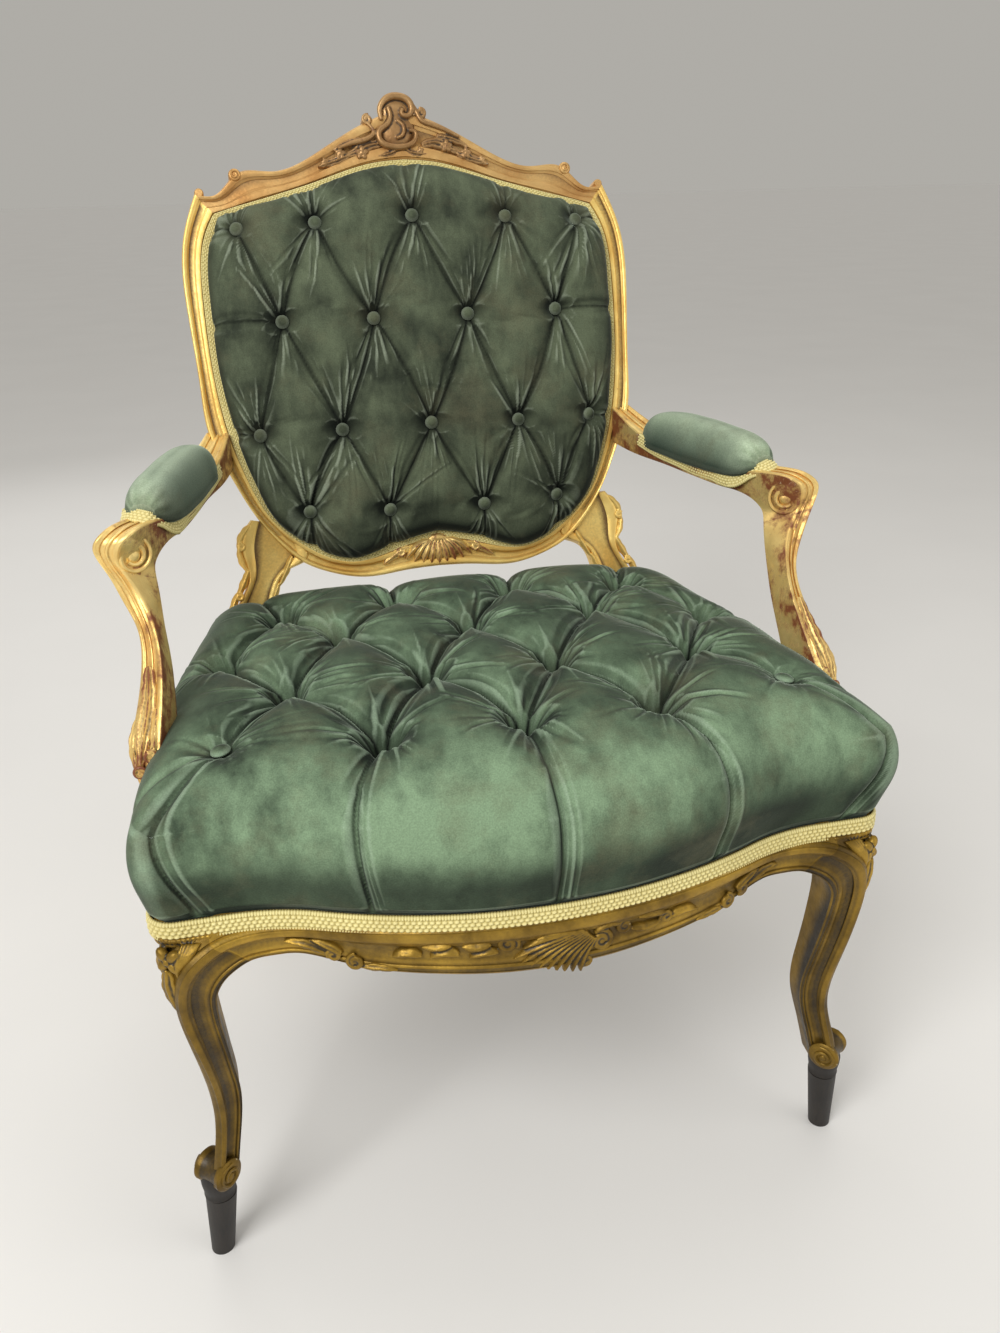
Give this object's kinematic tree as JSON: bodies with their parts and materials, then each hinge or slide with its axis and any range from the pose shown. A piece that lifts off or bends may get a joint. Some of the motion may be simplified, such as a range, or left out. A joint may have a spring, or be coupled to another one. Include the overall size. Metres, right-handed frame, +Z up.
{
  "type": "fauteuil",
  "caption": "Open armchair with a carved, gilded wooden frame, curved legs and arms, and a deep-buttoned velvet seat and back, for one person to sit in.",
  "frame": {"origin": "on the floor, in the middle of the chair's outer box", "axes": "+Z up, +Y towards the back, +X to the right as seen from the front"},
  "size_m": [0.7062, 0.6939, 1.0206],
  "materials": {
    "gilded_beech": "satin",
    "dark_peg_foot": "satin",
    "raw_beech": "matte",
    "screw_steel": "satin",
    "spring_steel": "satin",
    "green_velvet": "matte",
    "gold_gimp": "matte",
    "jute_webbing": "matte",
    "hessian": "matte",
    "black_cloth": "matte",
    "back_cloth": "matte"
  },
  "bodies": {
    "root": {"arm_gimp_left": "gold_gimp", "arm_gimp_right": "gold_gimp", "arm_left": "gilded_beech", "arm_pad_left": "green_velvet", "arm_pad_right": "green_velvet", "arm_right": "gilded_beech", "arm_screws": "screw_steel", "arm_support_left": "gilded_beech", "arm_support_right": "gilded_beech", "back_buttons": "green_velvet", "back_cushion": "green_velvet", "back_gimp": "gold_gimp", "back_hessian": "hessian", "back_post_left": "gilded_beech", "back_post_right": "gilded_beech", "back_webbing": "jute_webbing", "corner_blocks": "raw_beech", "corner_screws": "screw_steel", "crest_rail": "gilded_beech", "dust_cover": "black_cloth", "first_stuffing": "hessian", "frame_dowels": "raw_beech", "front_foot_left": "dark_peg_foot", "front_foot_right": "dark_peg_foot", "front_leg_left": "gilded_beech", "front_leg_right": "gilded_beech", "front_rail": "gilded_beech", "joint_pegs": "raw_beech", "lower_back_rail": "gilded_beech", "outside_back_cover": "back_cloth", "outside_back_gimp": "gold_gimp", "rear_foot_left": "dark_peg_foot", "rear_foot_right": "dark_peg_foot", "rear_rail": "gilded_beech", "seat_buttons": "green_velvet", "seat_cushion": "green_velvet", "seat_gimp": "gold_gimp", "seat_springs": "spring_steel", "seat_webbing": "jute_webbing", "side_rail_left": "gilded_beech", "side_rail_right": "gilded_beech", "spring_canvas": "hessian"}
  },
  "joints": []
}
